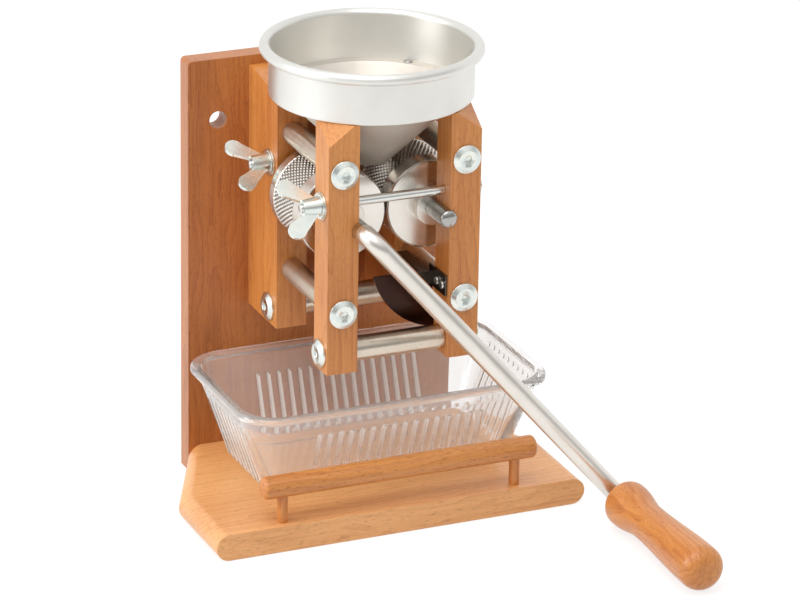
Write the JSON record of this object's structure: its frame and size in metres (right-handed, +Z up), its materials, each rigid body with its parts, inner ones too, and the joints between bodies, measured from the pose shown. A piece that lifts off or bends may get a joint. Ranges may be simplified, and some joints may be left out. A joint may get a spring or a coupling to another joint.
{
  "type": "grain flaker",
  "caption": "Tabletop grain flaker: knurled steel rollers between wooden posts, turned by a long side crank, under a round metal funnel and over a ribbed glass dish.",
  "frame": {"origin": "centre of the base board's underside, which stands on the table", "axes": "+Z up, crank side towards -Y, +X to the right as seen from the crank side"},
  "size_m": [0.2851, 0.3161, 0.3163],
  "materials": {
    "beech": "oiled beech",
    "light_beech": "oiled light beech",
    "dark_beech": "oiled steamed beech",
    "satin_steel": "turned and brushed stainless steel",
    "polished_steel": "ground and polished steel",
    "zinc": "bright zinc plate",
    "mirror_plate": "polished sheet that mirrors the wood",
    "aluminium": "satin spun aluminium",
    "glass": "clear pressed glass"
  },
  "bodies": {
    "frame": {"base_board": "light_beech", "backboard": "dark_beech", "front_left_post": "beech", "front_right_post": "beech", "rear_left_post": "beech", "rear_right_post": "beech", "rail_bar": "beech", "rail_pegs": "beech", "base_screws": "zinc", "post_screws": "zinc", "upper_left_rod": "satin_steel", "upper_right_rod": "satin_steel", "lower_left_rod": "satin_steel", "lower_right_rod": "satin_steel", "front_cross_rod": "satin_steel", "rear_cross_rod": "satin_steel", "side_rod_bolts": "zinc", "cross_rod_bolts": "zinc", "front_clamp_bolt": "zinc", "rear_clamp_bolt": "zinc", "clamp_washers": "zinc", "guard_plate": "mirror_plate", "guard_bracket": "satin_steel", "guard_screws": "zinc"},
    "front_nut": {"front_wing_nut": "zinc"},
    "rear_nut": {"rear_wing_nut": "zinc"},
    "drive": {"drive_roller": "polished_steel", "drive_shaft": "polished_steel", "crank_arm": "satin_steel", "grip_spindle": "satin_steel"},
    "driven": {"driven_roller": "polished_steel", "driven_shaft": "polished_steel"},
    "handle": {"crank_handle": "beech"},
    "funnel": {"funnel_band": "aluminium", "funnel_cone": "satin_steel", "funnel_rivets": "satin_steel"},
    "dish": {"glass_dish": "glass"}
  },
  "joints": [
    {"name": "crank_turn", "type": "hinge", "parent": "frame", "child": "drive", "pos_m": [-0.0302, 0, 0.211], "axis": [0, 1, 0], "continuous": true},
    {"name": "driven_turn", "type": "hinge", "parent": "frame", "child": "driven", "pos_m": [0.0302, 0, 0.211], "axis": [0, 1, 0], "continuous": true},
    {"name": "handle_spin", "type": "hinge", "parent": "drive", "child": "handle", "pos_m": [0.13938, -0.17, 0.0159], "axis": [0, 1, 0], "continuous": true},
    {"name": "front_nut_turn", "type": "hinge", "parent": "frame", "child": "front_nut", "pos_m": [-0.06, -0.0535, 0.227], "axis": [1, 0, 0], "continuous": true},
    {"name": "rear_nut_turn", "type": "hinge", "parent": "frame", "child": "rear_nut", "pos_m": [-0.06, 0.034, 0.227], "axis": [1, 0, 0], "continuous": true},
    {"name": "funnel_lift", "type": "slide", "parent": "frame", "child": "funnel", "axis": [0, 0, 1], "range_m": [0, 0.08]},
    {"name": "dish_draw", "type": "slide", "parent": "frame", "child": "dish", "axis": [1, 0, 0], "range_m": [-0.235, 0.235]}
  ],
  "couplings": [
    {"joint": "driven_turn", "follows": "crank_turn", "ratio": -1}
  ]
}
